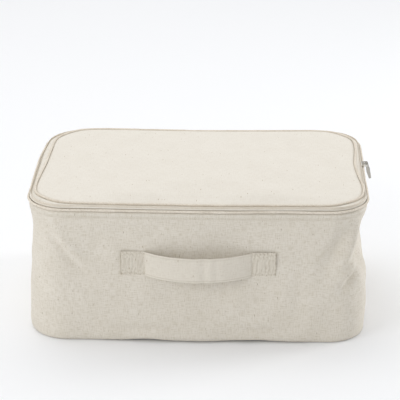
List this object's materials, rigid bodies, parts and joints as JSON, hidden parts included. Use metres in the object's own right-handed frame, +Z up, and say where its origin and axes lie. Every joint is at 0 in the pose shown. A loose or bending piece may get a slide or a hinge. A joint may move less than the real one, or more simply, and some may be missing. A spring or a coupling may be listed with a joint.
{
  "type": "under bed box",
  "caption": "Soft canvas storage box on a wire rim, with a zipped lid hinged along the back and a strap handle on the front.",
  "frame": {"origin": "centre of the base's underside, on the surface that the box stands on", "axes": "+X along the long side to the right seen from the front, -Y out of the front with the handle, +Z up"},
  "size_m": [0.6131, 0.4247, 0.2646],
  "materials": {
    "canvas": "woven linen-look canvas, laminated backing",
    "lid_canvas": "the same canvas on the lid",
    "base_canvas": "the same canvas under the base",
    "lining": "plain woven facing cloth",
    "binding": "folded seam tape",
    "piping": "canvas cut on the bias and sewn round a core",
    "strap": "folded canvas strap with edge stitching",
    "zip_tape": "woven polyester tape",
    "zip_coil": "nylon coil",
    "board": "solid polypropylene board",
    "cord": "extruded piping cord",
    "wire": "bright spring wire",
    "slider_metal": "nickel plated zinc",
    "pull_metal": "dark plated zinc"
  },
  "bodies": {
    "box": {"wall_wrap": "canvas", "wall_back": "canvas", "base_panel": "base_canvas", "base_seam_binding": "binding", "base_board": "board", "base_lining": "lining", "rim_facing": "lining", "rim_wire": "wire", "rim_piping": "piping", "back_seam_binding_left": "binding", "back_seam_binding_right": "binding", "zip_tape_body": "zip_tape", "zip_coil_body": "zip_coil", "hinge_strip": "canvas", "handle_ends": "strap", "handle_backing_left": "lining", "handle_backing_right": "lining"},
    "lid": {"lid_panel": "lid_canvas", "lid_piping": "piping", "lid_piping_cord": "cord", "lid_band": "canvas", "lid_seam_binding": "binding", "zip_tape_lid": "zip_tape", "zip_coil_lid": "zip_coil"},
    "handle": {"handle_bow": "strap"},
    "slider_front": {"zip_slider_front": "slider_metal"},
    "pull_front": {"pull_tab_front": "pull_metal"},
    "slider_rear": {"zip_slider_rear": "slider_metal"},
    "pull_rear": {"pull_tab_rear": "pull_metal"}
  },
  "joints": [
    {"name": "lid_hinge", "type": "hinge", "parent": "box", "child": "lid", "pos_m": [0, 0.1959, 0.252], "axis": [-1, 0, 0], "range_deg": [0, 180], "deforming": ["hinge_strip"]},
    {"name": "handle_swing", "type": "hinge", "parent": "box", "child": "handle", "pos_m": [0, -0.19735, 0.15], "axis": [-1, 0, 0], "range_deg": [-25, 32], "stiffness_Nm_per_rad": 0.05, "deforming": ["handle_ends"]},
    {"name": "slider_front_slide", "type": "slide", "parent": "box", "child": "slider_front", "axis": [0, -1, 0], "range_m": [0, 0.146]},
    {"name": "slider_rear_slide", "type": "slide", "parent": "box", "child": "slider_rear", "axis": [0, 1, 0], "range_m": [0, 0.09]},
    {"name": "pull_front_swing", "type": "hinge", "parent": "slider_front", "child": "pull_front", "pos_m": [0.3043, 0.0227, 0.2536], "axis": [0, -1, 0], "range_deg": [0, 140]},
    {"name": "pull_rear_swing", "type": "hinge", "parent": "slider_rear", "child": "pull_rear", "pos_m": [0.3043, 0.0333, 0.2536], "axis": [0, -1, 0], "range_deg": [0, 140]}
  ]
}
